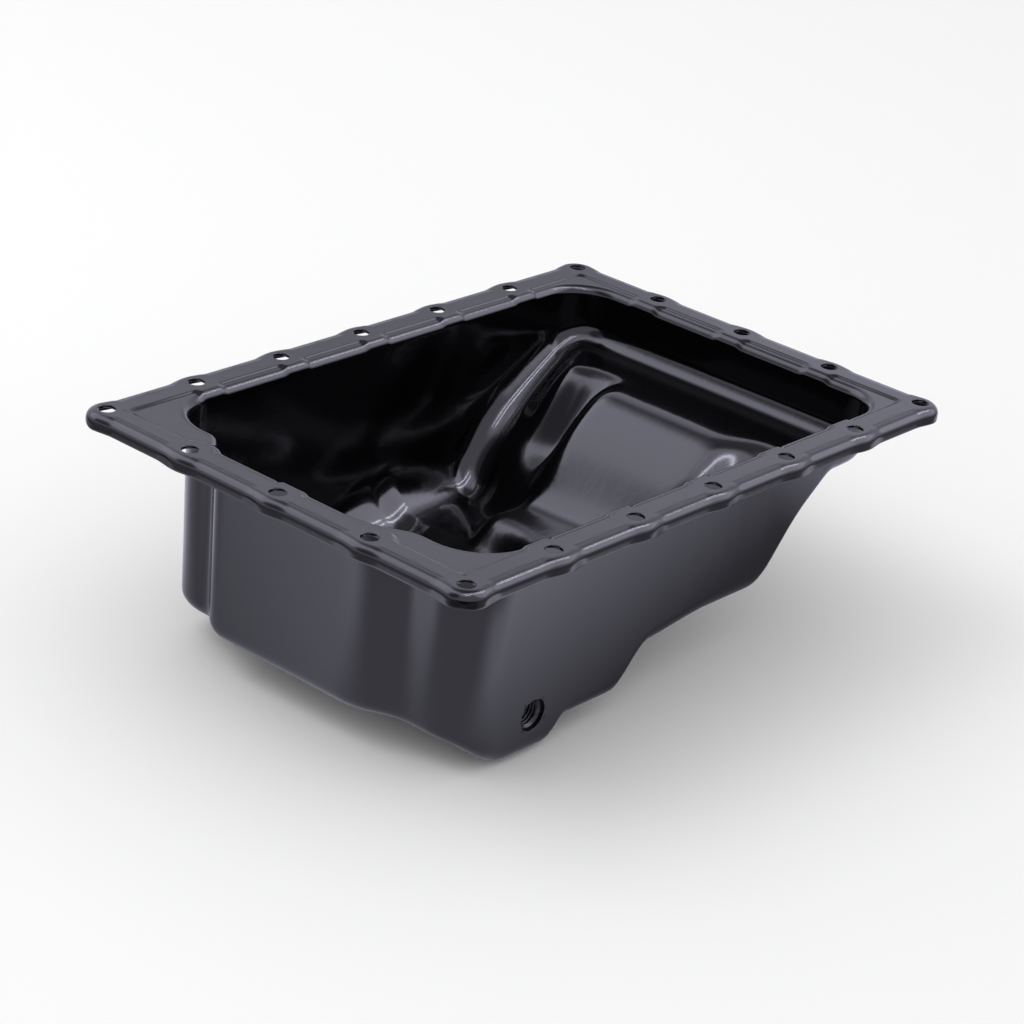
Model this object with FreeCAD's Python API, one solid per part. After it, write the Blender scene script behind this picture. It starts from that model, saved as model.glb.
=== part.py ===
"""Engine oil pan: one deep-drawn sheet of steel, with a weld nut inside its drain hole.

Millimetres. The origin is the middle of the bolt pattern on the sealing face, X runs along the long
side, Y along the short side and Z up, so the bowl hangs below Z = 0. The sump is at -X and the drain
is in the -Y wall. Depths are positive downwards and measured on the inside of the sheet.
"""
import FreeCAD
import Part
import math
import os

# Sheet and bolt pattern
SHEET = 1.5
HOLE_PITCH = 50.0
LONG_PITCHES = 6
SHORT_PITCHES = 4
HOLE_D = 7.5

# Flange and its turned-down lip, measured outwards from the line of holes
EDGE_OUT = 7.6
PAD_OUT = 1.5
PAD_HALF = 12.0
FLANGE_CORNER = 9.0
LIP_BEND = 4.0
LIP_DROP = 7.0
FAR_LIP_DROP = 4.8
LIP_ROWS = (0.35, 0.7, 1.0)
TOP_LAP = 0.5

# Sunk lands between the bolt pads
LAND_DROP = 0.9
LAND_EDGE = 5.6
LAND_END_EDGE = 4.6
PAD_R = 8.6
PAD_FADE = 6.0
STEP_RUN = 2.2
STEP_ROWS = ((0.0, 0.0), (0.25, 0.0), (0.55, 1.0), (0.8, 1.0))

# Opening, measured inwards from the line of holes to the wall
WALL_IN_X = 11.2
WALL_IN_Y = 11.4
OPENING_CORNER = 20.0
FAR_CORNER = 26.0
DRAIN_CORNER = 23.0
RECESS = 10.3
JOG_START = 45.0
JOG_END = 56.0
JOG_START_R = 14.5
JOG_END_R = 9.0
NEAR_JOG_START = 36.0
NEAR_JOG_START_R = 36.0
NEAR_JOG_END_R = 18.0
WALL_BEND = 4.0
DRAFT = 1.8

# Inside radius at the foot of the wall: round the outside of the sump, under the end wall
# of the ledge, and along the far wall
FOOT_R = 6.5
END_FOOT_R = 8.5
END_FOOT_START = 90.0
END_FOOT_RUN = 40.0
FAR_FOOT_R = 26.0
FAR_FOOT_START = -60.0
FAR_FOOT_RUN = 60.0
FAR_FOOT_END = 134.0
FAR_FOOT_SIDE = 62.0
FAR_FOOT_TURN = 24.0

# Floor levels
LEDGE = 27.0
SHELF = 70.0
LANDING = 67.0
SUMP = 85.8
DISH = 4.0
POOL = 2.0
WELL = 9.2

# The floor is drawn for a bolt pattern of these half sizes and stretches with it in plan
PLAN_HALF_X = 150.0
PLAN_HALF_Y = 100.0

# Ramp from the shelf up to the ledge, set back beside the drain wall
RAMP_TOE = 50.5
RAMP_TOE_BEND = 6.0
RAMP_KNEE = 20.0
RAMP_KNEE_BEND = 7.0
KNEE_DROP = 16.5
RAMP_RUN = 41.0
RAMP_TOP_BEND = 5.0
SET_BACK = 12.0
SET_BACK_START = -32.0
SET_BACK_RUN = 22.0
SAG = 4.2
SAG_RUN = 50.0

# Fall from the shelf to the sump, which runs slantwise across the pan
BROW_FAR = 23.0
BROW_NEAR = -21.5
BROW_RUN = 121.6
FALL_RUN = 18.0
FALL_SPREAD = 4.0

# Rounded edge and steep flank of the shelf and the ramp, beside the deep channel
BLOCK_SIDE = 30.0
NOSE = 5.0
NOSE_START = 56.0
NOSE_RUN = 20.0
FLANK_R = 8.0
FLANK_SLOPE = 74.0
FLANK_FOOT = 14.0

# The two falls and the landing at the end of the channel
FALL_TOE = 54.0
FALL_TOE_BEND = 6.0
FALL_TOP = 67.0
END_TOE = 88.0
LANDING_BEND = 4.0
LANDING_TILT = 10.0
LANDING_BANK = 0.25
BANK_START = 44.0
END_TOP = 106.0
END_TOP_BEND = 7.0
TOE_BOW = 8.0
BOW_MIDDLE = 58.0
BOW_HALF = 24.0
SWEEP = 29.0
SWEEP_START = 60.0
SWEEP_RUN = 26.0
SLANT = 0.6
SLANT_MIDDLE = 62.0
SLANT_MOST = 10.0
BLISTER = 5.0
BLISTER_X = 97.0
BLISTER_Y = 60.0
BLISTER_HALF_X = 22.0
BLISTER_HALF_Y = 13.0

# Dish, pool and well in the sump's floor
DISH_START = 16.0
DISH_START_RUN = 14.0
DISH_END = 126.0
DISH_END_RUN = 20.0
POOL_START = 10.0
POOL_RUN = 60.0
WELL_START = -20.0
WELL_START_RUN = 30.0
WELL_EDGE = -62.0
WELL_EDGE_RUN = 12.0
WELL_END = 122.0
WELL_END_RUN = 26.0

# Planar patch that closes the rings in the middle of the sump
FLAT_X = -76.0
FLAT_Y = 42.0
FLAT_HALF_X = 26.0
FLAT_HALF_Y = 23.0

# Drain
DRAIN_X = -84.7
DRAIN_Z = -83.3
DRAIN_HOLE_D = 14.5
NUT_D = 20.0
NUT_LENGTH = 9.0
NUT_BORE_D = 10.2
NUT_CHAMFER = 1.4

# Share of a straight run that its two roundings may take up
ROOM = 0.96

# How closely the rings of the pressed skin are spaced
STATION_STEP = 5.0
ARC_STEP = 4.0
RIM_STEP = 4.0
BEND_ROWS = 5
WALL_ROWS = (0.04, 0.15, 0.35, 0.55, 0.75, 0.88, 0.94, 0.98)
FOOT_ROWS = 6
FLOOR_ROWS = 36

HALF_X = HOLE_PITCH * LONG_PITCHES / 2
HALF_Y = HOLE_PITCH * SHORT_PITCHES / 2
WALL_X = HALF_X - WALL_IN_X
WALL_Y = HALF_Y - WALL_IN_Y
HUB_HALF = WALL_X - WALL_Y
STRETCH_X = HALF_X / PLAN_HALF_X
STRETCH_Y = HALF_Y / PLAN_HALF_Y
SLOPE = math.tan(math.radians(DRAFT))


def ease(t):
    """A step from 0 to 1 with soft ends."""
    t = min(max(t, 0.0), 1.0)
    return t * t * (3 - 2 * t)


def ramp(u, half):
    """0 before a corner and u after it, rounded over half on either side."""
    if u <= -half:
        return 0.0
    if u >= half:
        return u
    return (u + half) ** 2 / (4 * half)


def rounded(x, corners):
    """Height at x of a line of straight runs through (place, height, rounding) corners."""
    value = corners[0][1]
    before = 0.0
    for here, there in zip(corners, corners[1:] + [None]):
        after = (there[1] - here[1]) / (there[0] - here[0]) if there else 0.0
        value += (after - before) * ramp(x - here[0], here[2])
        before = after
    return value


def ramp_profile(shift):
    """Corners of the ramp that climbs from the shelf to the ledge, moved by shift along X."""
    toe = RAMP_TOE + shift
    knee = (toe + RAMP_KNEE, LEDGE + KNEE_DROP, RAMP_KNEE_BEND)
    return [(toe, SHELF, RAMP_TOE_BEND), knee, (toe + RAMP_RUN, LEDGE, RAMP_TOP_BEND)]


def channel_profile(y):
    """Corners of the two falls at the end of the deep channel, from the sump up to the ledge.

    The lower fall runs slantwise. The upper one bows out at its toe and reaches the corner beside the far
    wall. The landing between them slopes to the sump and is banked up towards the far wall.
    """
    slant = max(SLANT * (y - SLANT_MIDDLE), -SLANT_MOST)
    toe = END_TOE - TOE_BOW * max(0.0, 1 - ((y - BOW_MIDDLE) / BOW_HALF) ** 2)
    top = END_TOP + SWEEP * ease((y - SWEEP_START) / SWEEP_RUN)
    landing = LANDING - LANDING_BANK * max(0.0, y - BANK_START)
    lower = [(FALL_TOE + slant, SUMP, FALL_TOE_BEND)]
    lower.append((FALL_TOP + slant, landing + LANDING_TILT / 2, LANDING_BEND))
    return lower + [(toe, landing - LANDING_TILT / 2, LANDING_BEND), (top, LEDGE, END_TOP_BEND)]


def sump_depth(x, y):
    """Inside depth of the sump: its dish, the pool along the drain wall and the well round the drain."""
    dish = ease((DISH_START - x) / DISH_START_RUN) * ease((x + DISH_END) / DISH_END_RUN)
    end = ease((x + WELL_END) / WELL_END_RUN)
    pool = ease((POOL_START - y) / POOL_RUN) * end
    well = ease((WELL_START - y) / WELL_START_RUN) * ease((WELL_EDGE - x) / WELL_EDGE_RUN) * end
    return SUMP + DISH * dish + POOL * pool + WELL * well


def flank_drop(out):
    """Drop at a distance beyond the block's side: round its edge, then straight down its flank."""
    slope = math.radians(FLANK_SLOPE)
    reach = FLANK_R * math.sin(slope)
    if out <= 0:
        return 0.0
    if out < reach:
        return FLANK_R - math.sqrt(FLANK_R ** 2 - out ** 2)
    return FLANK_R * (1 - math.cos(slope)) + (out - reach) * math.tan(slope)


def depth(x, y):
    """Inside depth of the floor at a place in plan."""
    x, y = x / STRETCH_X, y / STRETCH_Y
    along = ease((BLOCK_SIDE - y) / BROW_RUN)
    brow = BROW_FAR + (BROW_NEAR - BROW_FAR) * along
    fall = ease((brow + FALL_RUN / 2 - x) / (FALL_RUN + FALL_SPREAD * along))
    block = rounded(x, ramp_profile(SET_BACK * ease((SET_BACK_START - y) / SET_BACK_RUN)))
    block += SAG * ease((brow + SAG_RUN - x) / SAG_RUN) * (1 - fall)
    sump = sump_depth(x, y)
    block += (sump - block) * fall
    channel = rounded(x, channel_profile(y)) + sump - SUMP
    blister = math.hypot((x - BLISTER_X) / BLISTER_HALF_X, (y - BLISTER_Y) / BLISTER_HALF_Y)
    channel -= BLISTER * ease(1 - blister)
    gap = max(channel - block, 1e-9)
    drop = flank_drop(y - BLOCK_SIDE - NOSE * ease((NOSE_START - x) / NOSE_RUN))
    blend = min(FLANK_FOOT, gap)
    return block + min(drop, gap) - max(blend - abs(drop - gap), 0.0) ** 2 / (4 * blend)


def foot_radius(x, y):
    """Inside radius at the foot of the wall, at a place on the line of the wall."""
    x, y = x / STRETCH_X, y / STRETCH_Y
    radius = FOOT_R + (END_FOOT_R - FOOT_R) * ease((x - END_FOOT_START) / END_FOOT_RUN)
    far = ease((x - FAR_FOOT_START) / FAR_FOOT_RUN) * ease((y - FAR_FOOT_SIDE) / FAR_FOOT_TURN)
    far *= min(max(1 - x / FAR_FOOT_END, 0.0), 1.0)
    return radius + (FAR_FOOT_R - radius) * far


def corner_path(corners, step, arc_step):
    """Stations (x, y, nx, ny) round a closed counter-clockwise outline of (x, y, radius) corners.

    Where two roundings would meet on the straight run between them, both are drawn in until they fit.
    """
    count = len(corners)
    turns, cuts, runs = [], [], []
    for i in range(count):
        ax, ay, _ = corners[i - 1]
        bx, by, radius = corners[i]
        cx, cy, _ = corners[(i + 1) % count]
        turn = math.atan2(cy - by, cx - bx) - math.atan2(by - ay, bx - ax)
        turns.append(math.remainder(turn, 2 * math.pi))
        cuts.append(radius * math.tan(abs(turns[-1]) / 2))
        runs.append(math.hypot(bx - ax, by - ay))
    ends = []
    for i in range(count):
        ax, ay, _ = corners[i - 1]
        bx, by, radius = corners[i]
        ux, uy = (bx - ax) / runs[i], (by - ay) / runs[i]
        after = (i + 1) % count
        room = min(runs[i] / (cuts[i - 1] + cuts[i]), runs[after] / (cuts[i] + cuts[after]))
        fit = min(1.0, ROOM * room)
        cut = cuts[i] * fit
        ends.append(((bx - ux * cut, by - uy * cut), (ux, uy), turns[i], radius * fit))
    stations = []
    for i in range(count):
        (sx, sy), (ux, uy), turn, radius = ends[i]
        side = 1.0 if turn > 0 else -1.0
        ox, oy = sx - uy * radius * side, sy + ux * radius * side
        steps = max(2, round(abs(turn) * radius / arc_step))
        for k in range(steps + 1):
            a = turn * k / steps
            nx = uy * math.cos(a) + ux * math.sin(a)
            ny = -ux * math.cos(a) + uy * math.sin(a)
            stations.append((ox + nx * radius * side, oy + ny * radius * side, nx, ny))
        ex, ey, nx, ny = stations[-1]
        (tx, ty) = ends[(i + 1) % count][0]
        run = math.hypot(tx - ex, ty - ey)
        parts = max(2, round(run / step))
        for k in range(1, parts):
            f = k / parts
            stations.append((ex + (tx - ex) * f, ey + (ty - ey) * f, nx, ny))
    return stations


def opening_stations():
    """Stations round the wall line of the opening, which steps in at both corners of the sump end."""
    inner = -WALL_X + RECESS
    start, end, near_start = [y * STRETCH_Y for y in (JOG_START, JOG_END, NEAR_JOG_START)]
    corners = [(WALL_X, -WALL_Y, OPENING_CORNER), (WALL_X, WALL_Y, OPENING_CORNER)]
    corners += [(inner, WALL_Y, FAR_CORNER), (inner, end, JOG_END_R)]
    corners += [(-WALL_X, start, JOG_START_R), (-WALL_X, -near_start, NEAR_JOG_START_R)]
    corners += [(inner, -end, NEAR_JOG_END_R), (inner, -WALL_Y, DRAIN_CORNER)]
    return corner_path(corners, STATION_STEP, ARC_STEP)


def hole_centres():
    """Centres of the bolt holes, evenly round the rectangle."""
    places = []
    for i in range(LONG_PITCHES + 1):
        x = -HALF_X + i * HOLE_PITCH
        places += [(x, -HALF_Y), (x, HALF_Y)]
    for j in range(1, SHORT_PITCHES):
        y = -HALF_Y + j * HOLE_PITCH
        places += [(-HALF_X, y), (HALF_X, y)]
    return places


def land_edge(x, y, nx, ny):
    """Distance from a wall station outwards to where the sunk land meets the flat flange."""
    best = 1e9
    for limit, place, way in ((HALF_X - LAND_END_EDGE, x, nx), (HALF_Y - LAND_EDGE, y, ny)):
        if abs(way) > 1e-6:
            best = min(best, (math.copysign(limit, way) - place) / way)
    return best


def bowl_rows():
    """Rings of poles over the inside of the sheet, from the flange's inner edge down to the sump floor."""
    holes = hole_centres()
    columns = []
    for x, y, nx, ny in opening_stations():
        columns.append(land_poles(x, y, nx, ny, holes))
    return columns


def land_poles(x, y, nx, ny, holes):
    """One column of poles: across the land, down the wall, round the foot and over the floor."""
    hub = min(max(x, -HUB_HALF), HUB_HALF)
    reach = math.hypot(x - hub, y)
    rx, ry = (x - hub) / reach, y / reach
    edge = land_edge(x, y, rx, ry)
    tx, ty = x + rx * edge, y + ry * edge
    bx, by = x + nx * WALL_BEND, y + ny * WALL_BEND
    gap = min(math.hypot(hx - bx, hy - by) for hx, hy in holes)
    sunk = -LAND_DROP * ease((gap - PAD_R) / PAD_FADE)
    width = math.hypot(bx - tx, by - ty)
    step = min(width, STEP_RUN)
    poles = []
    for part, level in STEP_ROWS:
        f = part * step / width
        poles.append((tx + (bx - tx) * f, ty + (by - ty) * f, sunk * level))
    sweep = math.radians(90 - DRAFT)
    for k in range(BEND_ROWS + 1):
        a = sweep * k / BEND_ROWS
        out = WALL_BEND * (1 - math.sin(a))
        poles.append((x + nx * out, y + ny * out, sunk - WALL_BEND * (1 - math.cos(a))))
    top_out = WALL_BEND * (1 - math.sin(sweep))
    top_z = poles[-1][2]
    radius = foot_radius(x, y)
    floor = depth(x - nx * 2 * radius, y - ny * 2 * radius)
    for _ in range(3):
        centre_in = (floor - radius + top_z) * SLOPE - top_out + radius / math.cos(math.radians(DRAFT))
        floor = depth(x - nx * centre_in, y - ny * centre_in)
    foot_z = -(floor - radius) - radius * math.sin(math.radians(DRAFT))
    for f in WALL_ROWS:
        z = top_z + (foot_z - top_z) * f
        out = top_out - (top_z - z) * SLOPE
        poles.append((x + nx * out, y + ny * out, z))
    for k in range(FOOT_ROWS + 1):
        a = math.radians(DRAFT + (90 - DRAFT) * k / FOOT_ROWS)
        out = radius * math.cos(a) - centre_in
        poles.append((x + nx * out, y + ny * out, -(floor - radius) - radius * math.sin(a)))
    poles += floor_poles(poles[-1][0], poles[-1][1], math.atan2(y - FLAT_Y * STRETCH_Y, x - FLAT_X * STRETCH_X))
    return poles


def floor_poles(x, y, bearing):
    """Poles from the foot of the wall at a place to the rim of the sump's flat, evenly along the sheet."""
    gx = (FLAT_X + FLAT_HALF_X * math.cos(bearing)) * STRETCH_X
    gy = (FLAT_Y + FLAT_HALF_Y * math.sin(bearing)) * STRETCH_Y
    fine = 4 * FLOOR_ROWS
    line = []
    for k in range(fine + 1):
        px, py = x + (gx - x) * k / fine, y + (gy - y) * k / fine
        line.append(FreeCAD.Vector(px, py, -depth(px, py)))
    run = [0.0]
    for here, there in zip(line, line[1:]):
        run.append(run[-1] + (there - here).Length)
    poles = []
    place = 0
    for k in range(1, FLOOR_ROWS + 1):
        goal = run[-1] * k / FLOOR_ROWS
        while run[place + 1] < goal - 1e-9 and place < fine - 1:
            place += 1
        f = (goal - run[place]) / (run[place + 1] - run[place])
        point = line[place] + (line[place + 1] - line[place]) * f
        poles.append((point.x, point.y, point.z))
    return poles


def underside(columns, flat_rows):
    """The same rings on the far side of the sheet, one thickness away along its normal."""
    count = len(columns)
    result = []
    for i in range(count):
        column = columns[i]
        left, right = columns[i - 1], columns[(i + 1) % count]
        poles = []
        for j, here in enumerate(column):
            up, down = column[max(j - 1, 0)], column[min(j + 1, len(column) - 1)]
            along = FreeCAD.Vector(*right[j]) - FreeCAD.Vector(*left[j])
            inward = FreeCAD.Vector(*down) - FreeCAD.Vector(*up)
            away = FreeCAD.Vector(0, 0, -1)
            if j >= flat_rows:
                away = inward.cross(along).normalize()
            point = FreeCAD.Vector(*here) + away * SHEET
            poles.append((point.x, point.y, point.z))
        result.append(poles)
    return result


def skin(columns):
    """A smooth face on columns of poles, closed round and with free ends across."""
    poles = [[FreeCAD.Vector(*pole) for pole in column] for column in columns]
    around, across = len(poles), len(poles[0])
    surface = Part.BSplineSurface()
    inner = across - 4
    surface.buildFromPolesMultsKnots(
        poles,
        [1] * (around + 1),
        [4] + [1] * inner + [4],
        list(range(around + 1)),
        list(range(inner + 2)),
        True,
        False,
        3,
        3,
    )
    return surface.toShape()


def ring_at(face, z, widest):
    """The wire of the closed edge of a face that lies level at z, the widest or the narrowest one."""
    level = [e for e in face.Edges if e.BoundBox.ZLength < 1e-6 and abs(e.BoundBox.ZMin - z) < 1e-6]
    level = [e for e in level if e.isClosed()]
    level.sort(key=lambda e: e.BoundBox.DiagonalLength)
    return Part.Wire([level[-1] if widest else level[0]])


def lowest_ring(face):
    """The wire of the closed edge of a face that reaches lowest."""
    closed = [e for e in face.Edges if e.isClosed()]
    return Part.Wire([min(closed, key=lambda e: e.BoundBox.ZMin)])


def flat_face(*rings):
    """A level face inside its widest ring, open inside the other."""
    return Part.makeFace(list(rings), "Part::FaceMakerBullseye")


def rim_columns(gauge):
    """Columns of poles down the lip's bend, a gauge inside the outer face of the flange."""
    corners = [(HALF_X + EDGE_OUT, -HALF_Y - EDGE_OUT), (HALF_X + EDGE_OUT, HALF_Y + EDGE_OUT)]
    corners += [(-HALF_X - EDGE_OUT, HALF_Y + EDGE_OUT), (-HALF_X - EDGE_OUT, -HALF_Y - EDGE_OUT)]
    outline = corner_path([(x, y, FLANGE_CORNER) for x, y in corners], RIM_STEP, RIM_STEP)
    holes = hole_centres()
    columns = []
    for x, y, nx, ny in outline:
        bulge = PAD_OUT * ease(1 - beside_hole(x, y, nx, ny, holes) / PAD_HALF)
        columns.append(rim_poles(x + nx * bulge, y + ny * bulge, nx, ny, gauge))
    return columns


def beside_hole(x, y, nx, ny, holes):
    """How far along the edge a place on the outline lies from the nearest hole."""
    beside = [2 * PAD_HALF]
    for hx, hy in holes:
        if math.hypot(hx - x, hy - y) < 2 * PAD_HALF:
            beside.append(abs((hx - x) * ny - (hy - y) * nx))
    return min(beside)


def rim_poles(x, y, nx, ny, gauge):
    """One column over the bend at the flange's edge and down to the lip's lower edge."""
    radius = LIP_BEND - gauge
    drop = LIP_DROP + (FAR_LIP_DROP - LIP_DROP) * ease(ny)
    poles = [(x - nx * (LIP_BEND + TOP_LAP), y - ny * (LIP_BEND + TOP_LAP), -gauge)]
    for k in range(BEND_ROWS + 1):
        a = math.pi / 2 * k / BEND_ROWS
        out = -LIP_BEND + radius * math.sin(a)
        poles.append((x + nx * out, y + ny * out, -LIP_BEND + radius * math.cos(a)))
    for f in LIP_ROWS:
        poles.append((x - nx * gauge, y - ny * gauge, -LIP_BEND - (drop - LIP_BEND) * f))
    return poles


def wall_place(z):
    """Y of the inside of the drain wall at a height on its straight run."""
    return -WALL_Y - WALL_BEND * (1 - math.cos(math.radians(DRAFT))) + (-z - WALL_BEND) * SLOPE


def drain_axis():
    """Where the drain's axis meets the inside of the wall, and its direction into the pan."""
    tilt = math.radians(DRAFT)
    foot = FreeCAD.Vector(DRAIN_X * STRETCH_X, wall_place(DRAIN_Z), DRAIN_Z)
    return foot, FreeCAD.Vector(0, math.cos(tilt), math.sin(tilt))


def build_pan():
    """The whole pressing as one closed solid, then its holes."""
    inside = bowl_rows()
    bowl_top = skin(inside)
    bowl_under = skin(underside(inside, 5))
    rim_top = skin(rim_columns(0.0))
    rim_under = skin(rim_columns(SHEET))
    flat_z = inside[0][-1][2]
    faces = [bowl_top, bowl_under, rim_top, rim_under]
    faces.append(flat_face(ring_at(rim_top, 0.0, False), ring_at(bowl_top, 0.0, True)))
    faces.append(flat_face(ring_at(rim_under, -SHEET, False), ring_at(bowl_under, -SHEET, True)))
    faces.append(Part.makeRuledSurface(lowest_ring(rim_top), lowest_ring(rim_under)))
    faces.append(flat_face(ring_at(bowl_top, flat_z, False)))
    faces.append(flat_face(ring_at(bowl_under, flat_z - SHEET, False)))
    skins = Part.Compound(faces)
    skins.sewShape()
    solid = Part.Solid(skins.Shells[0])
    cutters = []
    for x, y in hole_centres():
        cutters.append(Part.makeCylinder(HOLE_D / 2, 3 * SHEET, FreeCAD.Vector(x, y, -2 * SHEET)))
    foot, way = drain_axis()
    cutters.append(Part.makeCylinder(DRAIN_HOLE_D / 2, 6 * SHEET, foot - way * 4 * SHEET, way))
    return solid.cut(cutters).Solids[0]


def build_nut():
    """Round weld nut standing on the inside of the wall, in line with the drain hole."""
    foot, way = drain_axis()
    body = Part.makeCylinder(NUT_D / 2, NUT_LENGTH, foot, way)
    rims = [e for e in body.Edges if isinstance(e.Curve, Part.Circle)]
    body = body.makeChamfer(NUT_CHAMFER, rims)
    return body.cut(Part.makeCylinder(NUT_BORE_D / 2, 3 * NUT_LENGTH, foot - way * NUT_LENGTH, way)).Solids[0]


os.makedirs("parts", exist_ok=True)
for name, build in (("oil_pan", build_pan), ("drain_nut", build_nut)):
    piece = build()
    print(name, piece.ShapeType, len(piece.Solids), piece.isValid(), round(piece.Volume), piece.BoundBox)
    piece.exportStep("parts/" + name + ".step")
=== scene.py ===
"""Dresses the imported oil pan: pressed sheet at full detail, weld nut, gloss black paint and a studio."""

import math
from types import SimpleNamespace

import bpy
import numpy as np
from bpy.props import FloatProperty, FloatVectorProperty, PointerProperty
from mathutils import Matrix, Vector


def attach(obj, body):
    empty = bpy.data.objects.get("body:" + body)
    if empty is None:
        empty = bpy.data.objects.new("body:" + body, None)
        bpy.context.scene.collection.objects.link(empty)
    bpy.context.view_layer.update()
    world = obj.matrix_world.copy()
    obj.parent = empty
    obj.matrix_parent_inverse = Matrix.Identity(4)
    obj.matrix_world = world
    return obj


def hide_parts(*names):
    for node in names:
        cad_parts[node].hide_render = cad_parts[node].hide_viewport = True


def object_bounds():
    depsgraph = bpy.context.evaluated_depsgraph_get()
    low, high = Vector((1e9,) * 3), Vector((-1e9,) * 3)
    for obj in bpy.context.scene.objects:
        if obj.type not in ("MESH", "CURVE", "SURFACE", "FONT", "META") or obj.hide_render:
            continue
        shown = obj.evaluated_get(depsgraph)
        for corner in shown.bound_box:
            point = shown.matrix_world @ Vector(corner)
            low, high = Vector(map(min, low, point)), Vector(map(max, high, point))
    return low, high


bl_info = {
    "name": "Pressed Oil Pan",
    "version": (1, 0, 0),
    "blender": (4, 5, 0),
    "location": "View3D > Sidebar > Oil Pan",
    "description": "Builds the looks of a deep-drawn engine oil pan round its CAD frame",
    "category": "Object",
}

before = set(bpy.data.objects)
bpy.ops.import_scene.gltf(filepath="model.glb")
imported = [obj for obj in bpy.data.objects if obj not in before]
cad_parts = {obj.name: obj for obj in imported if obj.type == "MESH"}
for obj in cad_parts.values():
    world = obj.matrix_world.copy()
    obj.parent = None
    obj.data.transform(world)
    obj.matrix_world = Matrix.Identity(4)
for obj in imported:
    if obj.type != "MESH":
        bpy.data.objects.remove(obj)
CAD_BOX = [list(corner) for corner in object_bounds()]

# Bolt pattern in millimetres, as all that follows: half of it and its pitch, and from the line of holes in
# to where the flange's patches end
HALF_X, HALF_Y, PITCH = 150.0, 100.0, 50.0
SEAL_IN_X, SEAL_IN_Y = 4.3, 5.0

# Wall: half its plan, how far in and where it steps at both corners of the sump end, its radii in plan, the
# bend under the flange and its draft in degrees
WALL_X, WALL_Y = 138.8, 88.6
RECESS, JOG_START, JOG_END, NEAR_JOG_START = 10.3, 45.0, 56.0, 36.0
JOG_START_R, JOG_END_R, NEAR_JOG_START_R, NEAR_JOG_END_R = 14.5, 9.0, 36.0, 18.0
FAR_CORNER, DRAIN_CORNER, OPENING_CORNER = 26.0, 23.0, 20.0
WALL_BEND, DRAFT = 4.0, 1.8

# Foot of the wall: its radius round the sump, under the ledge and along the far side, and where it grows
FOOT_R, END_FOOT_R, FAR_FOOT_R = 6.5, 8.5, 26.0
END_FOOT_START, END_FOOT_RUN = 90.0, 40.0
FAR_FOOT_START, FAR_FOOT_RUN, FAR_FOOT_END = -60.0, 60.0, 134.0
FAR_FOOT_SIDE, FAR_FOOT_TURN = 62.0, 24.0

# Ramp from the shelf up to the ledge: its toe, knee and run along X, their roundings, how it is set back at
# the drain side, and the shelf's sag
RAMP_TOE, RAMP_KNEE, KNEE_DROP, RAMP_RUN = 50.5, 20.0, 16.5, 41.0
RAMP_TOE_BEND, RAMP_KNEE_BEND, RAMP_TOP_BEND = 6.0, 7.0, 5.0
SET_BACK, SET_BACK_START, SET_BACK_RUN, SAG, SAG_RUN = 12.0, -32.0, 22.0, 4.2, 50.0

# The shelf's brow over the sump and the fall below it, and the shelf's side towards the channel with its
# nose and its flank, whose slope is in degrees
BROW_FAR, BROW_NEAR, BROW_RUN, FALL_RUN, FALL_SPREAD = 23.0, -21.5, 121.6, 18.0, 4.0
BLOCK_SIDE, NOSE, NOSE_START, NOSE_RUN = 30.0, 5.0, 56.0, 20.0
FLANK_R, FLANK_SLOPE, FLANK_FOOT = 8.0, 74.0, 14.0

# Channel: its fall from the landing to the sump and its end up to the ledge, their roundings, the landing's
# tilt and bank, how the end's toe bows and its top sweeps, how the fall slants, and the blister
FALL_TOE, FALL_TOP, END_TOE, END_TOP = 54.0, 67.0, 88.0, 106.0
FALL_TOE_BEND, LANDING_BEND, END_TOP_BEND = 6.0, 4.0, 7.0
LANDING_TILT, LANDING_BANK, BANK_START = 10.0, 0.25, 44.0
TOE_BOW, BOW_MIDDLE, BOW_HALF = 8.0, 58.0, 24.0
SWEEP, SWEEP_START, SWEEP_RUN = 29.0, 60.0, 26.0
SLANT, SLANT_MIDDLE, SLANT_MOST = 0.6, 62.0, 10.0
BLISTER, BLISTER_X, BLISTER_Y, BLISTER_HALF_X, BLISTER_HALF_Y = 5.0, 97.0, 60.0, 22.0, 13.0

# Sump: where its dish, its pool along the drain wall and its well start and end, and the drain's place
DISH_START, DISH_START_RUN, DISH_END, DISH_END_RUN = 16.0, 14.0, 126.0, 20.0
POOL_START, POOL_RUN, WELL_START, WELL_START_RUN = 10.0, 60.0, -20.0, 30.0
WELL_EDGE, WELL_EDGE_RUN, WELL_END, WELL_END_RUN = -62.0, 12.0, 122.0, 26.0
DRAIN_X, DRAIN_Z = -84.7, -83.3

# Relief of the flange's top, from the line of holes: where its raised band ends inside and outside, then
# the flat pad's radius round each hole and the width of the soft step, for the land inside the band and
# the rim outside it
BAND_IN_X, BAND_IN_Y, BAND_OUT = 4.6, 5.6, 2.0
LAND_PAD_R, LAND_STEP = 9.0, 2.0
OUTER_DROP, OUTER_PAD_R, OUTER_STEP = 0.28, 8.5, 1.8

# Small forms: how much further in the lip's bend starts between the pads, and the roundings at the lip's
# lower edge and at the top and underside of a bolt hole
BEND_SPREAD, LIP_EDGE, HOLE_EDGE, HOLE_UNDER_EDGE = 0.5, 0.35, 0.35, 0.25

# Drain: how far the punch reaches to each side of the wall and how near its circle it draws points in, then
# the rounding, width and rise of the collar round the hole, and where the hole's wall is laid and ends
PUNCH_REACH, PUNCH_PULL = 6.0, 1.35
DRAIN_EDGE_R, DRAIN_COLLAR, DRAIN_PROUD = 0.35, 0.9, 0.02
DRAIN_WALL_AT, DRAIN_WALL_END = -0.4, 0.3

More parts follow.
